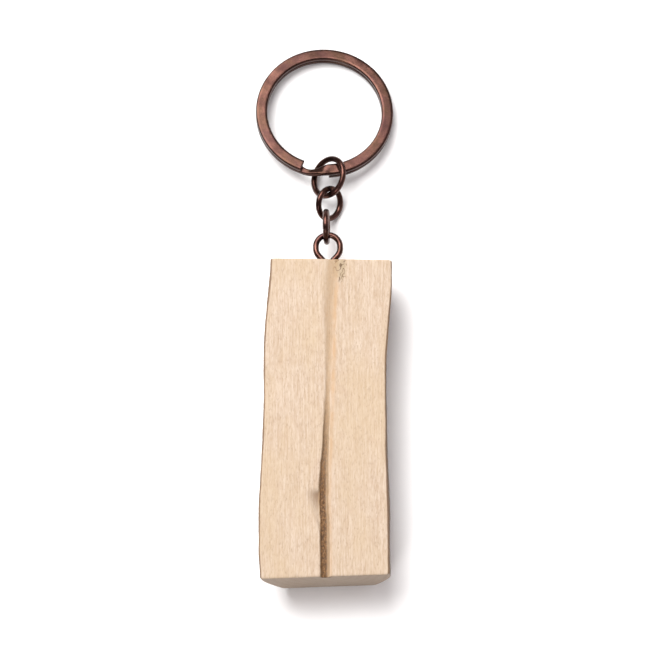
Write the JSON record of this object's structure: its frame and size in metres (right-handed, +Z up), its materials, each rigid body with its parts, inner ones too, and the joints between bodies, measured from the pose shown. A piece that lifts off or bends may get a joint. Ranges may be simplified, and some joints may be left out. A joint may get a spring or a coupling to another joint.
{
  "type": "keychain",
  "caption": "Half-log wooden keychain tag with a screw eye, a chain of round jump rings and a flat split key ring.",
  "frame": {"origin": "centre of the tag's flat resting back", "axes": "+Y along the tag's grain towards the split ring, +Z up out of the split face, +X to the right of the split face"},
  "size_m": [0.0301, 0.1204, 0.0127],
  "materials": {
    "wood": "sanded, unvarnished, with a brown pith groove",
    "antique_copper": "satin antique copper plating"
  },
  "bodies": {
    "tag": {"wood_block": "wood", "screw_eye": "antique_copper"},
    "eye_link": {"eye_link": "antique_copper"},
    "middle_link": {"middle_link": "antique_copper"},
    "jump_ring": {"jump_ring": "antique_copper"},
    "split_ring": {"split_ring": "antique_copper"}
  },
  "joints": [
    {"name": "eye_link_swing", "type": "hinge", "parent": "tag", "child": "eye_link", "pos_m": [-0.00009, 0.04144, 0.00635], "axis": [0.9594, 0.2821, 0], "range_deg": [-90, 90]},
    {"name": "middle_link_swing", "type": "hinge", "parent": "eye_link", "child": "middle_link", "pos_m": [0.00042, 0.04581, 0.0039], "axis": [-0.0375, 0.6984, 0.7147], "range_deg": [-65, 65]},
    {"name": "jump_ring_swing", "type": "hinge", "parent": "middle_link", "child": "jump_ring", "pos_m": [0.00077, 0.05255, 0.00477], "axis": [-0.7164, -0.3669, 0.5934], "range_deg": [-70, 70]},
    {"name": "split_ring_turn", "type": "hinge", "parent": "jump_ring", "child": "split_ring", "pos_m": [-0.00015, 0.07055, 0.00265], "axis": [0.0348, 0.0872, 0.9956], "continuous": true}
  ]
}
